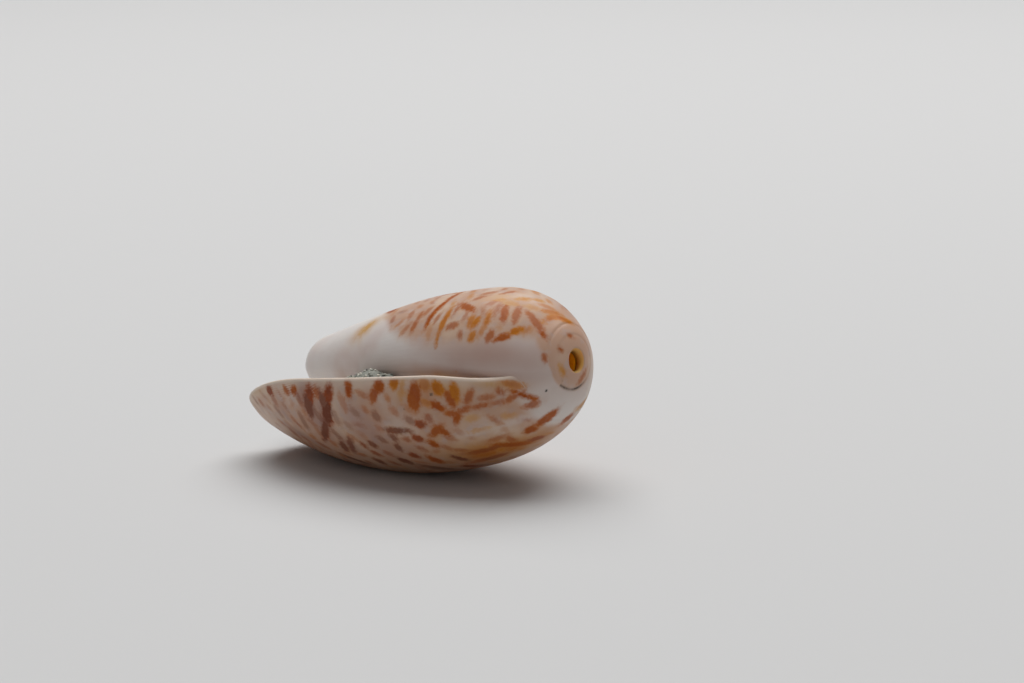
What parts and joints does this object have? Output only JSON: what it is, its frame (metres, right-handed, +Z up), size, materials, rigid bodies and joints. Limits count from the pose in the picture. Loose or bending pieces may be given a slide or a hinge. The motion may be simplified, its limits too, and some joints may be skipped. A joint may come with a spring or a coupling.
{
  "type": "olive shell",
  "caption": "Glossy speckled olive shell lying aperture up, with a worn hole through its apex and a lump of sand caught inside.",
  "frame": {"origin": "under the middle of the shell's box, on the surface that the shell rests on", "axes": "+X towards the spire with the worn hole, -Y towards the outer lip, +Z up out of the aperture"},
  "size_m": [0.0366, 0.0214, 0.0196],
  "materials": {
    "shell": "glossy natural enamel, cream with orange-brown and purple-brown speckles, white callus and lip",
    "sand": "damp grey-green sand with dark grains"
  },
  "bodies": {
    "root": {"shell": "shell", "sand": "sand"}
  },
  "joints": []
}
